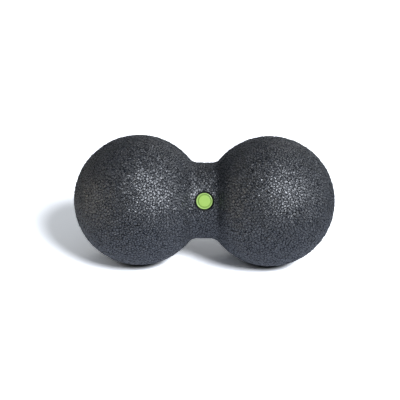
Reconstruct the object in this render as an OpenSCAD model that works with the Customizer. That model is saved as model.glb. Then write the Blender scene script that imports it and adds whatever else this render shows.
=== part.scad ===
// Peanut massage ball: a body of black bead foam, moulded in one piece as two equal balls
// joined by a short round neck, with a thin green plastic badge glued into a round recess
// on the neck. Millimetres. +X runs along the body, +Z is up as the ball lies on a floor,
// the badge faces forward (-Y) and a little up, and the origin is the middle of the neck.

/* [Balls] */
// Diameter of each ball
ball_d = 120; // [80:1:160]
// Distance left between the two round balls, measured along the body inside the neck
ball_gap = 0; // [0:1:40]

/* [Neck] */
// Diameter of the neck's straight stretch
neck_d = 70; // [50:1:78]
// Radius of the hollow fillet where the neck runs into each ball
fillet_r = 9; // [2:0.5:24]

/* [Badge] */
// Diameter of the badge
badge_d = 14.5; // [10:0.5:24]
// Thickness of the badge at its rim
badge_t = 1.2; // [0.8:0.1:2.4]
// Width of the raised rim round the badge
rim_w = 1; // [0.6:0.1:3]
// Height of the rim above the badge's plain field
rim_h = 0.3; // [0.1:0.05:0.6]
// Bevel on both edges of the rim
rim_bevel = 0.15; // [0.05:0.05:0.25]
// Angle of the badge above straight forward, in degrees
badge_turn = 23; // [0:1:90]

/* [Badge recess] */
// Gap all round between the badge and the wall of its recess
recess_gap = 0.9; // [0.1:0.1:1.5]
// Depth of the rim under the foam at the badge's upper and lower edges
badge_sink = 0.1; // [0:0.1:1.5]

/* [Hidden] */
$fn = 160;

foam_colour = "#3c3f44";
badge_colour = "#a6cf62";

ball_r = ball_d / 2;
neck_r = neck_d / 2;
badge_r = badge_d / 2;

// Distance of each ball's centre from the middle of the neck
ball_x = ball_r + ball_gap / 2;

// Two fillets of the meeting radius would run into each other in the middle of the neck, so a
// fillet is at most a little smaller, which leaves the neck a straight stretch
fillet_meeting = (ball_x * ball_x - ball_r * ball_r + neck_r * neck_r) / (2 * (ball_r - neck_r));
fillet_most = 0.98;
fillet = min(fillet_r, fillet_most * fillet_meeting);

// The fillet's centre lies one fillet radius outside both the neck and the ball, less a hair,
// so that its arc crosses their outlines instead of only touching them
hair = 0.002;
fillet_out = neck_r + fillet - hair;
fillet_x = ball_x - sqrt(pow(ball_r + fillet - hair, 2) - pow(fillet_out, 2));

// Distance along the body at which the fillet's arc runs into the ball's
blend_x = ball_x - (ball_x - fillet_x) * (ball_r - hair / 2) / (ball_r + fillet - hair);

// The flat badge sits on the floor of its recess. Its rim ends just under the round neck at
// the upper and lower edges, and lies deeper at the left and right ones.
badge_face = sqrt(neck_r * neck_r - badge_r * badge_r) - badge_sink;
recess_floor = badge_face - badge_t;
recess_r = badge_r + recess_gap;

// The outline that is turned into the body. Here X is the distance from the body's axis and Y
// the distance along the body.
module outline() {
    difference() {
        union() {
            for (side = [-1, 1])
                ball_outline(side);
            translate([0, -blend_x])
                square([fillet_out, 2 * blend_x]);
        }
        groove_outline();
    }
}

// Half of one ball's circle, beyond the neck's straight stretch
module ball_outline(side) {
    intersection() {
        translate([0, side * ball_x])
            circle(r = ball_r);
        translate([0, side > 0 ? fillet_x : -fillet_x - 2 * ball_d])
            square([ball_d, 2 * ball_d]);
    }
}

// The groove round the neck, with a flat bottom and a round corner at each ball
module groove_outline() {
    translate([neck_r, -fillet_x])
        square([fillet, 2 * fillet_x]);
    for (side = [-1, 1])
        translate([fillet_out, side * fillet_x])
            circle(r = fillet);
}

// Turns what is drawn along +Z to the badge's direction
module to_badge() {
    rotate([90 - badge_turn, 0, 0])
        children();
}

module foam_body() {
    color(foam_colour)
        difference() {
            rotate([0, 90, 0])
                rotate_extrude()
                    outline();
            to_badge()
                translate([0, 0, recess_floor])
                    cylinder(h = ball_r, r = recess_r);
        }
}

// Flat underside, bevelled rim and a plain field inside the rim
module badge() {
    field_t = badge_t - rim_h;
    field_r = badge_r - rim_w;
    color(badge_colour)
        to_badge()
            translate([0, 0, recess_floor])
                rotate_extrude()
                    polygon([
                        [0, 0],
                        [badge_r, 0],
                        [badge_r, badge_t - rim_bevel],
                        [badge_r - rim_bevel, badge_t],
                        [field_r + rim_bevel, badge_t],
                        [field_r, field_t],
                        [0, field_t]
                    ]);
}

foam_body();
badge();
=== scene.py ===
# %% [markdown]
# # Peanut massage ball
# A peanut ball is rolled under the back, so that the spine lies in the groove between two balls.
# The body is black bead foam: small plastic beads are blown into a hollow mould and fused there
# with steam, so the whole surface shows their rounded outlines. A thin green plastic disc is glued
# into a round recess on the neck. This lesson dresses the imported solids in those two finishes. The
# body follows the same rule as its solid, and the beads are grown on it as real cells, because a
# bump pattern alone would leave the outline and the seams smooth.

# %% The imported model
import itertools
import math

import bmesh
import bpy
import numpy as np
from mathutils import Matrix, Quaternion, Vector
from mathutils.geometry import delaunay_2d_cdt


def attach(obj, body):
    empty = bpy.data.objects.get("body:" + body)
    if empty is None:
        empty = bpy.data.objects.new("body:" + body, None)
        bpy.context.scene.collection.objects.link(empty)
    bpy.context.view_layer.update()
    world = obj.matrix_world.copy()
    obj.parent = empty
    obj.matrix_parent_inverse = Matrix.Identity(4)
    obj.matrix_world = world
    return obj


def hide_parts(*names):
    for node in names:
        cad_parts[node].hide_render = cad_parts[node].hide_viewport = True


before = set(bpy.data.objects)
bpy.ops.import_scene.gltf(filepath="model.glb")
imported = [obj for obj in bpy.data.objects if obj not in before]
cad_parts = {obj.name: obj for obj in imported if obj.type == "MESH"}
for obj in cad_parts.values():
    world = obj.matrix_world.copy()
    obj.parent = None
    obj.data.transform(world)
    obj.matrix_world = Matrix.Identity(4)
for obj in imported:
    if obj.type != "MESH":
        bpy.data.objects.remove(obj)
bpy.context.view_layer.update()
print(len(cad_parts), "packed solids")

# %% [markdown]
# ## Sizes of the real thing
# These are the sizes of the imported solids, in millimetres. The body is a turned shape: ball, hollow
# fillet, straight neck, fillet and ball, so one function gives its radius at any place along its
# length. Everything below works in millimetres, and one factor turns them into Blender's metres at
# the end of each piece. The badge has its own directions: out of the neck, and up along its face.

# %% Sizes
MM = 0.001
BALL_R = 60.0
NECK_R = 35.0
FILLET_R = 9.0
BADGE_TURN = math.radians(23)
BADGE_R = 7.25
BADGE_T = 1.2
# Depth of the badge's rim under the foam at its upper and lower edges
BADGE_SINK = 0.1
# Gap all round between the badge and the wall of its recess
RECESS_GAP = 0.9

RECESS_R = BADGE_R + RECESS_GAP
RECESS_FLOOR = math.sqrt(NECK_R**2 - BADGE_R**2) - BADGE_SINK - BADGE_T
fillet_y = NECK_R + FILLET_R
fillet_x = BALL_R - math.sqrt((BALL_R + FILLET_R) ** 2 - fillet_y**2)
blend_x = BALL_R - (BALL_R - fillet_x) * BALL_R / (BALL_R + FILLET_R)
out_of_badge = np.array([0.0, -math.cos(BADGE_TURN), math.sin(BADGE_TURN)])
up_the_badge = np.array([0.0, math.sin(BADGE_TURN), math.cos(BADGE_TURN)])


def outline_r(x):
    """Radius of the body at a distance x along it, in millimetres."""
    x = np.abs(x)
    ball = np.sqrt(np.maximum(BALL_R**2 - (x - BALL_R) ** 2, 0))
    fillet = fillet_y - np.sqrt(np.maximum(FILLET_R**2 - (x - fillet_x) ** 2, 0))
    return np.where(x > blend_x, ball, np.where(x > fillet_x, fillet, NECK_R))


print(f"fillets run from x = {fillet_x:.2f} to {blend_x:.2f} mm")
print(f"the recess's floor lies {RECESS_FLOOR:.3f} mm from the body's axis")

# %% [markdown]
# ## Random points on the body
# In the mould the beads settle at random, but never closer than their own width. The first step is
# a random point on the surface. Equal areas have to get equally many, so the body is cut into thin
# rings along its length, and a random share of the whole area is turned back into a place.

# %% Random points
NECK_STEPS = 2000
BALL_STEPS = 6000


def random_on_body(count, chance):
    """Points spread evenly over the body's surface, by its area along the length."""
    near = np.linspace(0, blend_x, NECK_STEPS)
    far = np.linspace(blend_x, 2 * BALL_R, BALL_STEPS)
    x = np.concatenate([near, far[1:]])
    r = outline_r(x)
    band = np.hypot(np.diff(x), np.diff(r)) * (r[1:] + r[:-1]) * math.pi
    area = np.concatenate([[0], np.cumsum(band)])
    share = chance.uniform(-1, 1, count)
    x = np.sign(share) * np.interp(np.abs(share) * area[-1], area, x)
    turn = chance.uniform(-math.pi, math.pi, count)
    r = outline_r(x)
    print(f"surface {2 * area[-1] / 100:.0f} cm2")
    return np.stack([x, r * np.cos(turn), r * np.sin(turn)], axis=1)


# %% [markdown]
# ## Where the beads lie
# Plain random points would clump, and a grid would show rows. Throwing darts gives the right
# spread: a random point is kept if no earlier one is too near. The beads differ in size, so each
# one brings its own width. Space is cut into boxes as wide as the widest bead, so that only the
# boxes round a point are searched. A ring of fixed points comes first. It stands for the core pin,
# which presses the recess into the foam and cuts the beads there cleanly.

# %% Bead centres
BEAD_WIDTH = (1.75, 2.45)
TRIES = 230000
RING_R = 9.0
RING_POINTS = 44
# Width that a ring point brings, and room without a bead outside the ring and at the far end
RING_WIDTH = 1.3
RING_CLEAR = 0.9
END_CLEAR = 1.4


def on_body(across, up):
    """The body's surface point straight out from a place in the badge's plane."""
    out = np.sqrt(outline_r(across) ** 2 - up**2)
    return np.outer(across, [1, 0, 0]) + np.outer(up, up_the_badge) + np.outer(out, out_of_badge)


def too_near(p, q, width):
    """Whether two points lie closer to each other than a width."""
    return (p[0] - q[0]) ** 2 + (p[1] - q[1]) ** 2 + (p[2] - q[2]) ** 2 < width**2


def throw_beads(fixed, count, seed):
    """Keeps each random point that is far enough from all earlier ones."""
    chance = np.random.default_rng(seed)
    points = random_on_body(count, chance)
    widths = chance.uniform(*BEAD_WIDTH, count)
    from_axis = np.hypot(points[:, 0], points @ up_the_badge)
    outside = (from_axis >= RING_R + RING_CLEAR) | (points @ out_of_badge <= 0)
    start = [(p, RING_WIDTH) for p in fixed.tolist()]
    thrown = list(zip(points[outside].tolist(), widths[outside].tolist()))
    around = list(itertools.product((-1, 0, 1), repeat=3))
    boxes = {}
    kept = []
    for number, (p, width) in enumerate(start + thrown):
        box = tuple(math.floor(c / BEAD_WIDTH[1]) for c in p)
        free = number < len(start) or not any(
            too_near(p, q, (width + other) / 2)
            for i, j, k in around
            for q, other in boxes.get((box[0] + i, box[1] + j, box[2] + k), ())
        )
        if free:
            boxes.setdefault(box, []).append((p, width))
            kept.append(p)
    return np.array(kept)


ring_turn = np.arange(RING_POINTS) * math.tau / RING_POINTS
ring = on_body(RING_R * np.cos(ring_turn), RING_R * np.sin(ring_turn))
near_end = np.array([[-2 * BALL_R, 0.0, 0.0]])
centres = throw_beads(np.concatenate([ring, near_end]), TRIES, seed=11)
centres = centres[np.linalg.norm(centres - [2 * BALL_R, 0, 0], axis=1) > END_CLEAR]
print(len(centres), "bead centres")

# %% [markdown]
# ## Rolling the body out flat
# The beads need a net that joins each one to its neighbours, in triangles as even as can be.
# Blender finds the best net for points on a plane, so the body is rolled out flat first. The map
# has to keep small shapes as they are, or the net would be wrong on the body. For a turned shape
# there is such a map: one end goes to the middle of the plane, and the distance from there grows
# as the exponent of the length walked along the outline, each step divided by its radius. On a
# ball that sum is the logarithm of a tangent, which also holds right up to the pole.

# %% The flat map
WALK_STEPS = 4000
LEAST_TURN = 1e-6


def flat_distance(x):
    """The exponent of the distance from the middle of the plane, for a place along the body."""
    near = np.linspace(0, blend_x, WALK_STEPS)
    r = outline_r(near)
    step = np.hypot(np.diff(near), np.diff(r)) * 2 / (r[1:] + r[:-1])
    reach = np.concatenate([[0], np.cumsum(step)])
    ball_turn = np.arccos(np.clip((np.abs(x) - BALL_R) / BALL_R, -1, 1))
    edge_turn = math.acos((blend_x - BALL_R) / BALL_R)
    start = reach[-1] + math.log(math.tan(edge_turn / 2))
    ball = start - np.log(np.tan(np.maximum(ball_turn, LEAST_TURN) / 2))
    return np.sign(x) * np.where(np.abs(x) > blend_x, ball, np.interp(np.abs(x), near, reach))


print("widest place on the flat map:", round(float(np.exp(flat_distance(centres[:, 0])).max())))

# %% [markdown]
# ## A net over the bead centres
# The flat net gives the triangles, and each one is made again on the body. The triangles inside the
# ring are left out, which opens the net where the recess goes. The far end lies at infinity on the
# plane, so its edge is closed afterwards by a fan round one more knot.

# %% The net
# Kind 0 asks for triangles over the whole plane, and points nearer than this count as one
ALL_TRIANGLES = 0
SAME_POINT = 1e-9


def net_over(points, ring_count):
    """A triangle net through the points, open at the ring and closed at both ends."""
    reach = np.exp(flat_distance(points[:, 0]))
    turn = np.arctan2(points[:, 2], points[:, 1])
    flat = [Vector((d * math.cos(a), d * math.sin(a))) for d, a in zip(reach, turn)]
    hoop = [(k, (k + 1) % ring_count) for k in range(ring_count)]
    triangles = delaunay_2d_cdt(flat, hoop, [], ALL_TRIANGLES, SAME_POINT)[2]
    net = bmesh.new()
    verts = [net.verts.new(p) for p in points]
    for t in triangles:
        if max(t) >= ring_count:
            net.faces.new([verts[k] for k in t])
    far = [e for e in net.edges if e.is_boundary and min(v.co.x for v in e.verts) > BALL_R]
    cap = bmesh.ops.holes_fill(net, edges=far)["faces"]
    tip = bmesh.ops.poke(net, faces=cap)["verts"][0]
    tip.co = (2 * BALL_R, 0, 0)
    bmesh.ops.recalc_face_normals(net, faces=net.faces[:])
    return net


def to_mesh(shape, name):
    """A Blender object from a bmesh in millimetres, at the origin."""
    mesh = bpy.data.meshes.new(name)
    bmesh.ops.scale(shape, vec=(MM, MM, MM), verts=shape.verts[:])
    shape.to_mesh(mesh)
    shape.free()
    piece = bpy.data.objects.new(name, mesh)
    bpy.context.scene.collection.objects.link(piece)
    return piece


net = net_over(centres, RING_POINTS)
open_edges = sum(e.is_boundary for e in net.edges)
print(len(net.verts), "knots,", len(net.faces), "triangles,", open_edges, "open edges at the recess")
foam = to_mesh(net, "foam_skin")

# %% [markdown]
# ## Building nodes from a script
# Materials and Geometry Nodes are both trees of nodes. One small function adds a node of any kind,
# sets its options, and fills each input with a value or with the output of another node. Inputs go
# by name, or by number where a node has several of one name. A Mix node keeps its factor in input 0
# and its two colours in 6 and 7, and gives the mixed colour from output 2. Colours are written as
# sRGB hex values, as a paint program shows them, and a second function turns them into the linear
# values that Blender works with.

# %% Nodes and colours


def add_node(tree, kind, inputs=None, **options):
    """Adds a node, sets its options, and fills its inputs with values or other nodes' outputs."""
    node = tree.nodes.new(kind)
    for option, value in options.items():
        setattr(node, option, value)
    for name, value in (inputs or {}).items():
        if isinstance(value, bpy.types.NodeSocket):
            tree.links.new(value, node.inputs[name])
        else:
            node.inputs[name].default_value = value
    return node


def linear(hex_colour, alpha=1.0):
    """A written sRGB colour as the linear values that Blender works with."""
    parts = [int(hex_colour[k:k + 2], 16) / 255 for k in (1, 3, 5)]
    return (*[c / 12.92 if c <= 0.04045 else ((c + 0.055) / 1.055) ** 2.4 for c in parts], alpha)


def empty_tree(owner):
    """The node tree of a material or world, with nothing in it."""
    owner.use_nodes = True
    owner.node_tree.nodes.clear()
    return owner.node_tree


print("a middle grey, linear:", [round(c, 3) for c in linear("#808080")])

# %% [markdown]
# ## The black of bead foam
# The foam is expanded polypropylene, coloured black through and through, and moulded against
# smooth metal. The beads don't take up the colour quite alike, so each has its own black. The seams
# between them are painted a deeper black, partly their own black and partly painted shade in the
# grooves. The mesh carries two values for this, which the bead tree writes further down:
# bead_tone, a random number for each bead, and crown, which is 1 on a bead's crown and 0 in a seam.

# %% Foam colour
DEEP_BEAD = "#0f1217"
PALE_BEAD = "#1d2129"
# Black of the seams: partly their own black, partly painted shade in the grooves
SEAM_BLACK_AND_SHADE = "#08090b"


def foam_colour(tree, crown, tone):
    """Black that differs from bead to bead, and is deeper in the seams, partly as painted shade."""
    bead = add_node(tree, "ShaderNodeMix", {0: tone, 6: linear(DEEP_BEAD), 7: linear(PALE_BEAD)},
                    data_type="RGBA")
    foam = add_node(tree, "ShaderNodeMix", {0: crown, 6: linear(SEAM_BLACK_AND_SHADE), 7: bead.outputs[2]},
                    data_type="RGBA")
    return foam.outputs[2]


print("the palest bead, linear:", [round(c, 4) for c in linear(PALE_BEAD)[:3]])

# %% [markdown]
# ## Facets on the skin
# Seen close, a crown isn't smooth. Its skin is a patchwork of tiny flats, and each mirrors the lamp
# another way, which is what makes the foam glitter. A real one is a few tenths of a millimetre
# across, too fine to show from here, so they are drawn at 0.7 mm. A Voronoi texture cuts the skin
# into cells. Each cell has a random colour, which serves as a direction here: the height rises
# along it from the cell's middle, so the Bump node sees a small tilted flat. Under the facets lie a
# soft grain and shallow pits, which keep neighbouring beads from looking alike. All heights are in
# metres here, so the Bump node's own distance stays at 1.

# %% Skin relief
FACET = 0.7 * MM
FACET_SLOPE = 0.27
GRAIN = 2.0 * MM
PIT = 1.7 * MM
# Where a pit's wall starts and ends, in shares of the distance between pits
PIT_WALL = (0.12, 0.42)
# Depth of a pit as a share of the grain's height, and the grain's height
PIT_DEPTH = 0.12
UNEVEN = 0.03 * MM


def skin_relief(tree, place, facet):
    """The direction of the skin, with tilted facets over a soft grain and shallow pits."""
    off_middle = add_node(tree, "ShaderNodeVectorMath", {0: place, 1: facet["Position"]},
                          operation="SUBTRACT")
    lean = add_node(tree, "ShaderNodeVectorMath", {0: facet["Color"], 1: (0.5, 0.5, 0.5)},
                    operation="SUBTRACT")
    rise = add_node(tree, "ShaderNodeVectorMath", {0: off_middle.outputs[0], 1: lean.outputs[0]},
                    operation="DOT_PRODUCT")
    # A colour less a half reaches half a unit each way, and twice that is the full slope
    steep = add_node(tree, "ShaderNodeMath", {0: rise.outputs["Value"], 1: 2 * FACET_SLOPE},
                     operation="MULTIPLY")
    grain = add_node(tree, "ShaderNodeTexNoise",
                     {"Vector": place, "Scale": 1 / GRAIN, "Detail": 1.0, "Roughness": 0.5})
    pits = add_node(tree, "ShaderNodeTexVoronoi", {"Vector": place, "Scale": 1 / PIT})
    pit_floor = add_node(tree, "ShaderNodeMapRange",
                         {"Value": pits.outputs["Distance"], "From Min": PIT_WALL[0],
                          "From Max": PIT_WALL[1]})
    uneven = add_node(tree, "ShaderNodeMath",
                      {0: pit_floor.outputs["Result"], 1: PIT_DEPTH, 2: grain.outputs["Fac"]},
                      operation="MULTIPLY_ADD")
    height = add_node(tree, "ShaderNodeMath", {0: uneven.outputs[0], 1: UNEVEN, 2: steep.outputs[0]},
                      operation="MULTIPLY_ADD")
    bump = add_node(tree, "ShaderNodeBump", {"Height": height.outputs[0], "Distance": 1.0})
    return bump.outputs["Normal"]


print(f"facets of {FACET / MM:.1f} mm, with a slope of up to {FACET_SLOPE} along each axis")

# %% [markdown]
# ## Sheen in flecks
# Where the skin closed against the mould it has a faint sheen. In places it tore or stuck, and
# came away dull, and those dull flecks make the fine dark grain between the bright points. White
# Noise picks one random number for each facet, and the sheen grows with it. It goes to Specular
# Tint, which scales the mirrored light alone. Over the whole skin, seams included, the tint's mean
# comes to about 1.2. A program that can't read the flecks takes it as 1, which leaves the foam
# slightly duller there.

# %% Skin sheen
# A facet whose random number is under the first is torn, and one over the second is closed
TORN = (0.12, 0.45)
CLOSED_SHEEN = 2.6
SEAM_SHEEN = 0.05


def skin_sheen(tree, crown, facet):
    """How much of its usual sheen the skin has: flecks on the crowns, and little in the seams."""
    torn = add_node(tree, "ShaderNodeTexWhiteNoise", {"Vector": facet["Position"]})
    closed = add_node(tree, "ShaderNodeMapRange",
                      {"Value": torn.outputs["Value"], "From Min": TORN[0], "From Max": TORN[1],
                       "To Max": CLOSED_SHEEN})
    raised = add_node(tree, "ShaderNodeMapRange", {"Value": crown, "To Min": SEAM_SHEEN})
    sheen = add_node(tree, "ShaderNodeMath",
                     {0: closed.outputs["Result"], 1: raised.outputs["Result"]},
                     operation="MULTIPLY")
    return sheen.outputs[0]


print(f"mean tint of a crown's facets: {CLOSED_SHEEN * (1 - sum(TORN) / 2):.2f}")

# %% [markdown]
# ## The foam material
# Polypropylene has an IOR of about 1.49. The crowns copy the mould's smooth wall and are a little
# glossier than the seams. The real foam shows more sheen than this IOR alone gives, so the specular
# level is raised from its usual 0.5 until the highlights match.

# %% Foam material
CROWN_ROUGH = 0.46
SEAM_ROUGH = 0.6
FOAM_IOR = 1.49
FOAM_SPECULAR = 0.95


def bead_foam():
    material = bpy.data.materials.new("black_bead_foam")
    tree = empty_tree(material)
    place = add_node(tree, "ShaderNodeTexCoord").outputs["Object"]
    crown = add_node(tree, "ShaderNodeAttribute", attribute_name="crown").outputs["Fac"]
    tone = add_node(tree, "ShaderNodeAttribute", attribute_name="bead_tone").outputs["Fac"]
    facet = add_node(tree, "ShaderNodeTexVoronoi", {"Vector": place, "Scale": 1 / FACET}).outputs
    rough = add_node(tree, "ShaderNodeMapRange",
                     {"Value": crown, "To Min": SEAM_ROUGH, "To Max": CROWN_ROUGH})
    skin = add_node(tree, "ShaderNodeBsdfPrincipled",
                    {"Base Color": foam_colour(tree, crown, tone),
                     "Roughness": rough.outputs["Result"], "IOR": FOAM_IOR,
                     "Specular IOR Level": FOAM_SPECULAR,
                     "Specular Tint": skin_sheen(tree, crown, facet),
                     "Normal": skin_relief(tree, place, facet)})
    add_node(tree, "ShaderNodeOutputMaterial", {"Surface": skin.outputs["BSDF"]})
    return material


black_bead_foam = bead_foam()
print(len(black_bead_foam.node_tree.nodes), "nodes in", black_bead_foam.name)

# %% [markdown]
# ## A tree that grows beads
# The beads repeat thousands of times by one rule, which is what Geometry Nodes are for. The tree's
# sizes are named inputs, so the same tree would suit a finer or a coarser foam. The seed fixes
# everything that is random in it.

# %% The tree's inputs
BEAD_SEED = 4
BEAD_INPUTS = (
    ("Net", "NodeSocketGeometry", None),
    ("Crown share", "NodeSocketFloat", 0.72),
    ("Seam depth", "NodeSocketFloat", 0.8 * MM),
    ("Crown spread", "NodeSocketFloat", 0.65 * MM),
    ("Crown lean", "NodeSocketFloat", 0.1),
    ("Recess direction", "NodeSocketVector", tuple(out_of_badge)),
    ("Recess ring", "NodeSocketFloat", RING_R * MM),
    ("Fade width", "NodeSocketFloat", 1.2 * MM),
    ("Seed", "NodeSocketInt", BEAD_SEED),
    ("Foam", "NodeSocketMaterial", black_bead_foam),
)


def new_geometry_tree(name, inputs, result):
    """A Geometry Nodes tree with named inputs, and the identifier of each input."""
    tree = bpy.data.node_groups.new(name, "GeometryNodeTree")
    sockets = {}
    for label, kind, value in inputs:
        socket = tree.interface.new_socket(label, in_out="INPUT", socket_type=kind)
        if value is not None:
            socket.default_value = value
        sockets[label] = socket.identifier
    tree.interface.new_socket(result, in_out="OUTPUT", socket_type="NodeSocketGeometry")
    return tree, sockets


bead_tree, bead_sockets = new_geometry_tree("beads_on_a_net", BEAD_INPUTS, "Beads")
given = add_node(bead_tree, "NodeGroupInput").outputs
print(len(bead_sockets), "inputs on", bead_tree.name)

# %% [markdown]
# ## A cell and a crown for each bead
# Each knot of the net is a bead. The Dual Mesh node turns the net inside out, so that every knot
# becomes a many-sided cell with its neighbours all round, which is the outline that a bead gets
# when it is squeezed against the others. Each cell remembers its middle, a random lean and a
# random tone. Then it is extruded by nothing and its top is shrunk, which leaves a crown inside a
# narrow seam.

# %% Cells and crowns


def grow_crowns(tree, given):
    """Makes the cells and their crowns, and captures each cell's middle, lean and tone."""
    cells = add_node(tree, "GeometryNodeDualMesh", {"Mesh": given["Net"], "Keep Boundaries": True})
    position = add_node(tree, "GeometryNodeInputPosition").outputs[0]
    lean = add_node(tree, "FunctionNodeRandomValue", {"Seed": given["Seed"]},
                    data_type="FLOAT_VECTOR")
    # Its vector limits are inputs 0 and 1, and its plain number comes from output 1
    lean.inputs[0].default_value = (-1, -1, -1)
    lean.inputs[1].default_value = (1, 1, 1)
    next_seed = add_node(tree, "ShaderNodeMath", {0: given["Seed"], 1: 1.0}, operation="ADD")
    tone = add_node(tree, "FunctionNodeRandomValue", {"Seed": next_seed.outputs[0]})
    keep = add_node(tree, "GeometryNodeCaptureAttribute", domain="FACE")
    for kind, name in (("VECTOR", "Middle"), ("VECTOR", "Lean"), ("FLOAT", "Tone")):
        keep.capture_items.new(kind, name)
    tree.links.new(cells.outputs[0], keep.inputs["Geometry"])
    tree.links.new(position, keep.inputs["Middle"])
    tree.links.new(lean.outputs["Value"], keep.inputs["Lean"])
    tree.links.new(tone.outputs[1], keep.inputs["Tone"])
    lifted = add_node(tree, "GeometryNodeExtrudeMesh",
                      {"Mesh": keep.outputs["Geometry"], "Offset Scale": 0.0})
    crowns = add_node(tree, "GeometryNodeScaleElements",
                      {"Geometry": lifted.outputs["Mesh"], "Selection": lifted.outputs["Top"],
                       "Scale": given["Crown share"]})
    return crowns.outputs["Geometry"], lifted.outputs["Top"], keep.outputs


crowned, on_crown, bead = grow_crowns(bead_tree, given)
print(len(bead_tree.nodes), "nodes for the cells and crowns")

# %% [markdown]
# ## How high each point lies
# The crowns stay near the mould's wall, a little above or below it, and each leans its own way. The
# seams sink, some more than others. Near the recess the relief fades out, because the core pin
# pressed the foam smooth there. Behind the body the same distance from the badge's axis means
# nothing, so the fade is switched off there.

# %% Bead heights
SEAM_UNEVEN = (0.6, 1.4)


def crown_height(tree, given, bead, position):
    """How far a crown's point rises, from the bead's lean and its tone."""
    from_middle = add_node(tree, "ShaderNodeVectorMath", {0: position, 1: bead["Middle"]},
                           operation="SUBTRACT")
    slope = add_node(tree, "ShaderNodeVectorMath", {0: from_middle.outputs[0], 1: bead["Lean"]},
                     operation="DOT_PRODUCT")
    leaning = add_node(tree, "ShaderNodeMath", {0: slope.outputs["Value"], 1: given["Crown lean"]},
                       operation="MULTIPLY")
    level = add_node(tree, "ShaderNodeMath", {0: 0.5, 1: bead["Tone"]}, operation="SUBTRACT")
    height = add_node(tree, "ShaderNodeMath",
                      {0: level.outputs[0], 1: given["Crown spread"], 2: leaning.outputs[0]},
                      operation="MULTIPLY_ADD")
    return height.outputs[0]


def seam_height(tree, given, bead):
    """How far a seam's point sinks, which differs a little from bead to bead."""
    share = add_node(tree, "ShaderNodeMapRange",
                     {"Value": bead["Tone"], "To Min": -SEAM_UNEVEN[0], "To Max": -SEAM_UNEVEN[1]})
    sunk = add_node(tree, "ShaderNodeMath", {0: share.outputs[0], 1: given["Seam depth"]},
                    operation="MULTIPLY")
    return sunk.outputs[0]


def fade_at_recess(tree, given, position):
    """0 on the ring round the recess and 1 away from it."""
    across = add_node(tree, "ShaderNodeVectorMath", {0: position, 1: given["Recess direction"]},
                      operation="CROSS_PRODUCT")
    from_axis = add_node(tree, "ShaderNodeVectorMath", {0: across.outputs[0]}, operation="LENGTH")
    along = add_node(tree, "ShaderNodeVectorMath", {0: position, 1: given["Recess direction"]},
                     operation="DOT_PRODUCT")
    behind = add_node(tree, "ShaderNodeMath", {0: along.outputs["Value"], 1: 0.0},
                      operation="LESS_THAN")
    reach = add_node(tree, "ShaderNodeMath", {0: from_axis.outputs["Value"], 1: behind.outputs[0]},
                     operation="ADD")
    far = add_node(tree, "ShaderNodeMath", {0: given["Recess ring"], 1: given["Fade width"]},
                   operation="ADD")
    fade = add_node(tree, "ShaderNodeMapRange",
                    {"Value": reach.outputs[0], "From Min": given["Recess ring"],
                     "From Max": far.outputs[0]})
    return fade.outputs[0]


position = add_node(bead_tree, "GeometryNodeInputPosition").outputs[0]
height = add_node(bead_tree, "GeometryNodeSwitch",
                  {"Switch": on_crown, "False": seam_height(bead_tree, given, bead),
                   "True": crown_height(bead_tree, given, bead, position)},
                  input_type="FLOAT")
move = add_node(bead_tree, "ShaderNodeMath",
                {0: height.outputs[0], 1: fade_at_recess(bead_tree, given, position)},
                operation="MULTIPLY")
print(len(bead_tree.nodes), "nodes with the heights")

# %% [markdown]
# ## Moving the points and marking the beads
# The points move along their normals. The material needs each bead's tone and each point's crown
# value, so both are stored by name. The crowns stay flat, because a smooth one would blur the edge
# where it turns into the seam. The tree ends by realising its instances and setting the material,
# so that nothing is left for an exporter to lose.

# %% The end of the tree
normal = add_node(bead_tree, "GeometryNodeInputNormal").outputs["Normal"]
offset = add_node(bead_tree, "ShaderNodeVectorMath", {0: normal, "Scale": move.outputs[0]},
                  operation="SCALE")
moved = add_node(bead_tree, "GeometryNodeSetPosition",
                 {"Geometry": crowned, "Offset": offset.outputs["Vector"]})
toned = add_node(bead_tree, "GeometryNodeStoreNamedAttribute",
                 {"Geometry": moved.outputs[0], "Name": "bead_tone", "Value": bead["Tone"]},
                 data_type="FLOAT", domain="FACE")
marked = add_node(bead_tree, "GeometryNodeStoreNamedAttribute",
                  {"Geometry": toned.outputs[0], "Name": "crown", "Value": on_crown},
                  data_type="FLOAT", domain="POINT")
in_seam = add_node(bead_tree, "FunctionNodeBooleanMath", {0: on_crown}, operation="NOT")
smooth = add_node(bead_tree, "GeometryNodeSetShadeSmooth",
                  {"Geometry": marked.outputs[0], "Selection": in_seam.outputs[0]})
real = add_node(bead_tree, "GeometryNodeRealizeInstances", {"Geometry": smooth.outputs[0]})
coated = add_node(bead_tree, "GeometryNodeSetMaterial",
                  {"Geometry": real.outputs[0], "Material": given["Foam"]})
add_node(bead_tree, "NodeGroupOutput", {"Beads": coated.outputs[0]})
print(len(bead_tree.nodes), "nodes in the whole tree")

# %% [markdown]
# ## Growing the beads
# The tree runs as a modifier on the net. Its inputs are set by identifier before the net is
# evaluated, the result is kept as a plain mesh, and the modifier goes.

# %% The beads


def bake(piece, tree, values):
    """Runs a Geometry Nodes tree on a piece and keeps the result as its plain mesh."""
    modifier = piece.modifiers.new(tree.name, "NODES")
    modifier.node_group = tree
    for identifier, value in values.items():
        modifier[identifier] = value
    evaluated = piece.evaluated_get(bpy.context.evaluated_depsgraph_get())
    mesh = bpy.data.meshes.new_from_object(evaluated)
    piece.modifiers.remove(modifier)
    old, piece.data = piece.data, mesh
    bpy.data.meshes.remove(old)
    mesh.name = piece.name
    return mesh


bead_values = {bead_sockets["Seed"]: BEAD_SEED, bead_sockets["Foam"]: black_bead_foam}
mesh = bake(foam, bead_tree, bead_values)
print(len(mesh.polygons), "faces,", sum(len(p.vertices) - 2 for p in mesh.polygons), "triangles")
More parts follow.
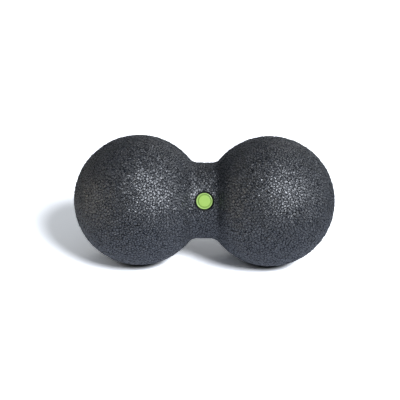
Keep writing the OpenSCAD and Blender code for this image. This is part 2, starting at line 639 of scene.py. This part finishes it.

# %% [markdown]
# ## The recess for the badge
# The mould's core pin leaves a round recess with a softly rounded lip. Cutting it with a Boolean
# would leave ragged scraps of beads along its edge. Here the net is already open along a clean
# circle, so the recess is built inwards from that edge, ring by ring: over the lip, down the wall,
# into the corner and over the floor. Arcs of a few steps make the lip and the corner. These points
# get a low crown value, which leaves the recess dull and paints it near the seams' black, as
# painted shade in the recess.

# %% Rings of the recess
LIP_R = 0.6
CORNER_R = 0.35
# Crown value of the recess: dull, and painted near the seams' black as painted shade
RECESS_SHADE_CROWN = 0.15
PLAIN_TONE = 0.5


def flat_circle(radius, height, angles):
    """Points of a circle round the badge's axis, at a height above the body's axis."""
    across = np.outer(radius * np.cos(angles), [1, 0, 0])
    up = np.outer(radius * np.sin(angles), up_the_badge)
    return across + up + height * out_of_badge


def body_circle(radius, angles):
    """Points of a circle round the badge's axis, laid on the round body."""
    return on_body(radius * np.cos(angles), radius * np.sin(angles))


def recess_rings(angles):
    """Rings of points over the lip and down the wall, and into the corner of the floor."""
    rings = []
    for turn in np.radians((0, 22.5, 45, 67.5, 90)):
        radius = RECESS_R + LIP_R * (1 - math.sin(turn))
        rings.append(body_circle(radius, angles) - out_of_badge * LIP_R * (1 - math.cos(turn)))
    for turn in np.radians((0, 45, 90)):
        radius = RECESS_R - CORNER_R * (1 - math.cos(turn))
        rings.append(flat_circle(radius, RECESS_FLOOR + CORNER_R * (1 - math.sin(turn)), angles))
    return rings


print(len(recess_rings(ring_turn)), "rings in the recess")

# %% [markdown]
# ## Joining the recess to the beads
# The open edge is put in order by its angle round the badge's axis and laid on the exact circle.
# Each ring is then joined to the one before it, and the last one is closed by the floor.

# %% Recess


def sink_recess(piece):
    """Builds the recess inwards from the piece's open edge."""
    shape = bmesh.new()
    shape.from_mesh(piece.data)
    crown = shape.verts.layers.float["crown"]
    tone = shape.faces.layers.float["bead_tone"]
    angle_of = {v: math.atan2(float(np.dot(v.co, up_the_badge)), v.co.x)
                for e in shape.edges if e.is_boundary for v in e.verts}
    last = sorted(angle_of, key=angle_of.get)
    angles = np.array([angle_of[v] for v in last])
    for v, p in zip(last, body_circle(RING_R, angles)):
        v.co = Vector(p) * MM
    for ring_points in recess_rings(angles):
        new = [shape.verts.new(Vector(p) * MM) for p in ring_points]
        for k in range(len(new)):
            n = (k + 1) % len(new)
            face = shape.faces.new([last[k], last[n], new[n], new[k]])
            face.smooth = True
            face[tone] = PLAIN_TONE
        # Each new ring gets painted shade through its low crown value
        for v in new:
            v[crown] = RECESS_SHADE_CROWN
        last = new
    floor_face = shape.faces.new(last)
    floor_face[tone] = PLAIN_TONE
    bmesh.ops.recalc_face_normals(shape, faces=shape.faces[:])
    shape.to_mesh(piece.data)
    shape.free()


sink_recess(foam)
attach(foam, "root")
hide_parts("foam_body")
print(len(foam.data.polygons), "faces on the foam with its recess")

# %% [markdown]
# ## Lime green ABS
# The badge is injection moulded ABS, coloured lime through and through. The steel of its mould was
# spark-eroded on the field, which gives the plain field a fine matt grain, and polished on the rim,
# which gives the rim a low roughness and a thin clean gleam. The rim is also painted a paler lime,
# as a painted highlight, and the sunk ring a deeper lime, as painted shade where it gets less light.
# The real grain is a few hundredths of a millimetre, too fine to show, so it is drawn at 0.4 mm.
# ABS has an IOR of 1.54. The mesh says where the rim and the ring are, by two values.

# %% Badge material
DEEP_LIME = "#9abf50"
PALE_LIME = "#a6ca5e"
# Deeper lime of the sunk ring: painted shade
RING_SHADE_LIME = "#83a346"
# Paler lime of the rim: a painted highlight
RIM_GLEAM_LIME = "#aecf74"
ABS_IOR = 1.54
FIELD_ROUGH = 0.55
RIM_ROUGH = 0.22
GRIT = 0.4 * MM
GRIT_HEIGHT = 0.06 * MM
CLOUD = 3.5 * MM


def badge_colour(tree, place, polish_and_gleam, sunk):
    """Faintly clouded lime, with painted shade in the sunk ring and a painted highlight on the rim.
    """
    cloud = add_node(tree, "ShaderNodeTexNoise", {"Vector": place, "Scale": 1 / CLOUD, "Detail": 2.0})
    field = add_node(tree, "ShaderNodeMix",
                     {0: cloud.outputs["Fac"], 6: linear(DEEP_LIME), 7: linear(PALE_LIME)},
                     data_type="RGBA")
    ring = add_node(tree, "ShaderNodeMix", {0: sunk, 6: field.outputs[2], 7: linear(RING_SHADE_LIME)},
                    data_type="RGBA")
    rim = add_node(tree, "ShaderNodeMix", {0: polish_and_gleam, 6: ring.outputs[2], 7: linear(RIM_GLEAM_LIME)},
                   data_type="RGBA")
    return rim.outputs[2]


def lime_abs():
    material = bpy.data.materials.new("lime_moulded_abs")
    tree = empty_tree(material)
    place = add_node(tree, "ShaderNodeTexCoord").outputs["Object"]
    polish_and_gleam = add_node(tree, "ShaderNodeAttribute", attribute_name="polish_and_gleam").outputs["Fac"]
    sunk = add_node(tree, "ShaderNodeAttribute", attribute_name="sunk").outputs["Fac"]
    rough = add_node(tree, "ShaderNodeMapRange",
                     {"Value": polish_and_gleam, "To Min": FIELD_ROUGH, "To Max": RIM_ROUGH})
    grain = add_node(tree, "ShaderNodeTexNoise", {"Vector": place, "Scale": 1 / GRIT, "Detail": 1.0})
    matt = add_node(tree, "ShaderNodeMath", {0: 1.0, 1: polish_and_gleam}, operation="SUBTRACT")
    height = add_node(tree, "ShaderNodeMath", {0: grain.outputs["Fac"], 1: matt.outputs[0]},
                      operation="MULTIPLY")
    bump = add_node(tree, "ShaderNodeBump", {"Height": height.outputs[0], "Distance": GRIT_HEIGHT})
    skin = add_node(tree, "ShaderNodeBsdfPrincipled",
                    {"Base Color": badge_colour(tree, place, polish_and_gleam, sunk),
                     "Roughness": rough.outputs["Result"], "IOR": ABS_IOR,
                     "Normal": bump.outputs["Normal"]})
    add_node(tree, "ShaderNodeOutputMaterial", {"Surface": skin.outputs["BSDF"]})
    return material


lime_moulded_abs = lime_abs()
print(len(lime_moulded_abs.node_tree.nodes), "nodes in", lime_moulded_abs.name)

# %% [markdown]
# ## The badge's outline
# A badge like this is a turned shape, like a coin, so half of its outline is enough: flat
# underside, round rim, plain sunk ring and plain field. Straight bevels would do for the solid, but
# a mould leaves small arcs, and only an arc catches the line of light that makes a rim read as
# plastic. The sunk ring's inner wall leans a little, so that the disc comes out of its mould.
# Beside each point stands whether it is polished, which also places the painted highlight, and
# whether it is sunk, which places the painted shade.

# %% Badge outline
RIM_H = 0.3
RIM_ROUND_R = 0.5
EDGE_R = 0.15
GROOVE = (5.1, 6.1)
GROOVE_DEPTH = 0.4
# Small step at the foot of the sunk ring's outer wall, and the lean of its inner one
GROOVE_STEP = (0.05, 0.06)
GROOVE_LEAN = 0.1
# Rings that keep the underside and the field flat up to their edges
UNDER_RING = 5.0
FIELD_RINGS = (4.2, 2.2)


def arc(middle, radius, start, end, count):
    """Points of an arc in the half outline, from one angle to another in degrees."""
    turns = [math.radians(start + (end - start) * k / (count - 1)) for k in range(count)]
    return [(middle[0] + radius * math.cos(t), middle[1] + radius * math.sin(t)) for t in turns]


field_t = BADGE_T - RIM_H
groove_t = field_t - GROOVE_DEPTH
under = [(0, 0), (UNDER_RING, 0), *arc((BADGE_R - EDGE_R, EDGE_R), EDGE_R, -90, 0, 4)]
rim = arc((BADGE_R - RIM_ROUND_R, BADGE_T - RIM_ROUND_R), RIM_ROUND_R, 0, 180, 9)
groove = [(GROOVE[1] + GROOVE_STEP[0], groove_t + GROOVE_STEP[1]), (GROOVE[1], groove_t),
          (GROOVE[0] + GROOVE_LEAN, groove_t)]
field = [*arc((GROOVE[0] - EDGE_R, field_t - EDGE_R), EDGE_R, 0, 90, 4),
         *[(r, field_t) for r in FIELD_RINGS], (0, field_t)]
outline = under + rim + groove + field
# The first value places the rim's low roughness and its painted highlight, the second the sunk ring's
# painted shade
finish = {
    "polish_and_gleam": [1] * len(under + rim) + [0] * len(groove + field),
    "sunk": [0] * len(under + rim) + [1] * len(groove) + [0] * len(field),
}
print(len(outline), "points in the half outline")

# %% [markdown]
# ## Turning the badge
# Each point of the outline becomes a ring round the badge's axis, and the two points on the axis
# become poles. Neighbouring rings are joined by faces, with triangles at the poles.

# %% Badge
STEPS_ROUND = 96


def turned(outline, finish, name):
    """Turns a half outline of (radius, height) round the badge's axis, poles at both ends."""
    shape = bmesh.new()
    for kind in finish:
        shape.verts.layers.float.new(kind)
    layers = {kind: shape.verts.layers.float[kind] for kind in finish}
    rings = []
    for k, (r, h) in enumerate(outline):
        angles = np.arange(STEPS_ROUND if r else 1) * math.tau / STEPS_ROUND
        rings.append([shape.verts.new(q) for q in flat_circle(r, RECESS_FLOOR + h, angles)])
        for kind, layer in layers.items():
            for v in rings[-1]:
                v[layer] = finish[kind][k]
    for a, b in zip(rings, rings[1:]):
        for k in range(STEPS_ROUND):
            n = (k + 1) % STEPS_ROUND
            corners = [a[k % len(a)], a[n % len(a)], b[n % len(b)], b[k % len(b)]]
            face = shape.faces.new(list(dict.fromkeys(corners)))
            face.smooth = True
    bmesh.ops.recalc_face_normals(shape, faces=shape.faces[:])
    return to_mesh(shape, name)


badge = turned(outline, finish, "badge_disc")
badge.data.materials.append(lime_moulded_abs)
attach(badge, "root")
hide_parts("badge")
print(len(badge.data.polygons), "faces on the badge")

# %% [markdown]
# ## The room
# A black part shows its room more than its own colour, so the room is told apart by the kind of
# ray. The camera sees plain white. Mirrored rays see a pale wall low down, which fades to a dark
# ceiling and is darker at the left, because a white room all round would lay a grey veil over the
# black. The rays that light the floor and the part get a weak light that comes mostly from above,
# and that keeps the shadow beside the part deep. All but the camera's own rays see it slightly
# cool.

# %% The room
# Heights and sides are parts of a direction of length 1: 0 is level or straight ahead
WALL_HEIGHT = (0.05, 0.45)
CEILING = 0.04
# Where the wall changes from left to right, and how bright it is at either end
WALL_ACROSS = (-0.8, 0.6)
SIDES = (0.12, 0.7)
# Light from the horizon, and from overhead down to the height of ROOM_LIGHT_TOP
ROOM_LIGHT = (0.02, 0.3)
ROOM_LIGHT_TOP = 0.5
ROOM_TINT = (0.92, 0.99, 1.08, 1.0)

scene = bpy.context.scene
scene.view_settings.view_transform = "Standard"
world = bpy.data.worlds.new("white_room")
scene.world = world
tree = empty_tree(world)
path = add_node(tree, "ShaderNodeLightPath").outputs
towards = add_node(tree, "ShaderNodeTexCoord").outputs["Generated"]
way = add_node(tree, "ShaderNodeSeparateXYZ", {0: towards}).outputs
wall = add_node(tree, "ShaderNodeMapRange",
                {"Value": way["Z"], "From Min": WALL_HEIGHT[0], "From Max": WALL_HEIGHT[1],
                 "To Min": 1.0, "To Max": CEILING})
side = add_node(tree, "ShaderNodeMapRange",
                {"Value": way["X"], "From Min": WALL_ACROSS[0], "From Max": WALL_ACROSS[1],
                 "To Min": SIDES[0], "To Max": SIDES[1]})
backdrop = add_node(tree, "ShaderNodeMath", {0: wall.outputs["Result"], 1: side.outputs["Result"]},
                    operation="MULTIPLY")
sky = add_node(tree, "ShaderNodeMapRange",
               {"Value": way["Z"], "From Max": ROOM_LIGHT_TOP, "To Min": ROOM_LIGHT[0],
                "To Max": ROOM_LIGHT[1]})
mirrored = add_node(tree, "ShaderNodeMath",
                    {0: path["Is Glossy Ray"], 1: path["Is Transmission Ray"]},
                    operation="MAXIMUM")
room = add_node(tree, "ShaderNodeMapRange",
                {"Value": mirrored.outputs[0], "To Min": sky.outputs["Result"],
                 "To Max": backdrop.outputs[0]})
strength = add_node(tree, "ShaderNodeMapRange",
                    {"Value": path["Is Camera Ray"], "To Min": room.outputs["Result"], "To Max": 1.0})
tint = add_node(tree, "ShaderNodeMix", {0: path["Is Camera Ray"], 6: ROOM_TINT, 7: (1, 1, 1, 1)},
                data_type="RGBA")
back = add_node(tree, "ShaderNodeBackground",
                {"Color": tint.outputs[2], "Strength": strength.outputs["Result"]})
add_node(tree, "ShaderNodeOutputWorld", {"Surface": back.outputs[0]})
print(len(tree.nodes), "nodes in", world.name)

# %% [markdown]
# ## The floor's paint
# A pale floor has to look white where the lamp reaches it and still show the shadow. So the camera
# sees it in a lighter paint than the one that sends light back to the part. Beyond a pool of about
# 20 cm the floor sends back little, or a bright plane would grey the lower half of each ball. Where
# the gap under a ball is only a few millimetres high, hardly any light gets in. This simple room
# lets in too much, so the paint is darkened there.

# %% Floor material
FLOOR_PAINT = (0.76, 0.78, 0.82, 1.0)
FLOOR_MIRRORED = (0.64, 0.68, 0.78, 1.0)
FLOOR_FAR = (0.18, 0.19, 0.21, 1.0)
# Lighter than any real paint, so that the lit floor comes out white
FLOOR_SEEN = (1.7, 1.69, 1.68, 1.0)
CONTACT_SEEN = (0.05, 0.05, 0.05, 1.0)
# In metres: how far out the pool fades, and how far the dark spot fades round each contact
POOL = (0.12, 0.28)
CONTACT = (0.0165, 0.0265)

floor_material = bpy.data.materials.new("pale_floor")
tree = empty_tree(floor_material)
path = add_node(tree, "ShaderNodeLightPath").outputs
place = add_node(tree, "ShaderNodeTexCoord").outputs["Object"]
mirrored = add_node(tree, "ShaderNodeMath",
                    {0: path["Is Glossy Ray"], 1: path["Is Transmission Ray"]},
                    operation="MAXIMUM")
near_paint = add_node(tree, "ShaderNodeMix",
                      {0: mirrored.outputs[0], 6: FLOOR_PAINT, 7: FLOOR_MIRRORED}, data_type="RGBA")
away = add_node(tree, "ShaderNodeVectorMath", {0: place}, operation="LENGTH")
far = add_node(tree, "ShaderNodeMapRange",
               {"Value": away.outputs["Value"], "From Min": POOL[0], "From Max": POOL[1]})
sent_back = add_node(tree, "ShaderNodeMix",
                     {0: far.outputs["Result"], 6: near_paint.outputs[2], 7: FLOOR_FAR},
                     data_type="RGBA")
one_side = add_node(tree, "ShaderNodeVectorMath", {0: place}, operation="ABSOLUTE")
from_contact = add_node(tree, "ShaderNodeVectorMath",
                        {0: one_side.outputs[0], 1: (BALL_R * MM, 0, BALL_R * MM)},
                        operation="DISTANCE")
open_floor = add_node(tree, "ShaderNodeMapRange",
                      {"Value": from_contact.outputs["Value"], "From Min": CONTACT[0],
                       "From Max": CONTACT[1]})
seen = add_node(tree, "ShaderNodeMix",
                {0: open_floor.outputs["Result"], 6: CONTACT_SEEN, 7: FLOOR_SEEN}, data_type="RGBA")
paint = add_node(tree, "ShaderNodeMix",
                 {0: path["Is Camera Ray"], 6: sent_back.outputs[2], 7: seen.outputs[2]},
                 data_type="RGBA")
matt = add_node(tree, "ShaderNodeBsdfDiffuse", {"Color": paint.outputs[2]})
add_node(tree, "ShaderNodeOutputMaterial", {"Surface": matt.outputs[0]})
print(len(tree.nodes), "nodes in", floor_material.name)

# %% [markdown]
# ## The floor
# One flat sheet is enough. It lies where the balls touch it, and it is so wide that no view shows
# its edge. It isn't part of the object.

# %% Floor
FLOOR_HALF_WIDTH = 6000

shape = bmesh.new()
bmesh.ops.create_grid(shape, x_segments=2, y_segments=2, size=FLOOR_HALF_WIDTH)
for v in shape.verts:
    v.co.z = -BALL_R
ground = to_mesh(shape, "pale_floor_sheet")
ground.data.materials.append(floor_material)
print("floor", 2 * FLOOR_HALF_WIDTH / 1000, "m wide")

# %% [markdown]
# ## Three lamps
# A large softbox to the right and above gives the broad highlight on each ball and the soft shadow
# to the left. A warm reflector stands low at the left, and a weak lamp behind lifts the upper edges
# off the background. All are sun lamps with a wide angle, because a lamp that far away lights both
# balls alike.

# %% Lamps


def away_from_origin(azimuth, rise):
    """A direction in degrees: azimuth to the right of straight in front, rise above the floor."""
    a, e = math.radians(azimuth), math.radians(rise)
    return Vector((math.sin(a) * math.cos(e), -math.cos(a) * math.cos(e), math.sin(e)))


def soft_lamp(name, azimuth, rise, energy, angle, colour):
    """A far soft lamp that shines from a direction towards the part."""
    sun = bpy.data.lights.new(name, "SUN")
    sun.energy = energy
    sun.angle = math.radians(angle)
    sun.color = colour
    lamp = bpy.data.objects.new(name, sun)
    lamp.rotation_mode = "QUATERNION"
    lamp.rotation_quaternion = away_from_origin(azimuth, rise).to_track_quat("Z", "Y")
    scene.collection.objects.link(lamp)
    print(name, "energy", energy)


soft_lamp("key_softbox", azimuth=36, rise=38, energy=3.6, angle=18, colour=(0.94, 0.99, 1.08))
soft_lamp("left_reflector", azimuth=-80, rise=3, energy=0.7, angle=10, colour=(1.0, 0.94, 0.8))
soft_lamp("back_lamp", azimuth=160, rise=36, energy=0.3, angle=20, colour=(1.0, 1.0, 1.0))

# %% [markdown]
# ## The camera
# The camera looks down on the part from the front at a shallow angle. A long lens from about a
# metre away keeps both balls equally large. The focal length follows from how many pixels a
# millimetre of the part takes up in a picture 400 pixels wide. A small shift and roll set the part
# where it lies in that picture.

# %% Camera
CAMERA_AZIMUTH = 0.3
CAMERA_RISE = 24.0
CAMERA_ROLL = 0.45
CAMERA_AWAY = 0.95
CAMERA_SIDE = (-0.0040, 0.0004, 0.0)
SENSOR_WIDTH = 36
PICTURE_WIDTH = 400
PIXELS_A_MM = 1.082

lens = bpy.data.cameras.new("camera")
lens.lens = SENSOR_WIDTH * PIXELS_A_MM * CAMERA_AWAY / MM / PICTURE_WIDTH
camera = bpy.data.objects.new("camera", lens)
scene.collection.objects.link(camera)
back_way = away_from_origin(CAMERA_AZIMUTH, CAMERA_RISE)
roll = Quaternion((0, 0, 1), math.radians(CAMERA_ROLL))
camera.rotation_mode = "QUATERNION"
camera.rotation_quaternion = back_way.to_track_quat("Z", "Y") @ roll
camera.location = back_way * CAMERA_AWAY + camera.rotation_quaternion @ Vector(CAMERA_SIDE)
scene.camera = camera
print(f"lens {lens.lens:.1f} mm")
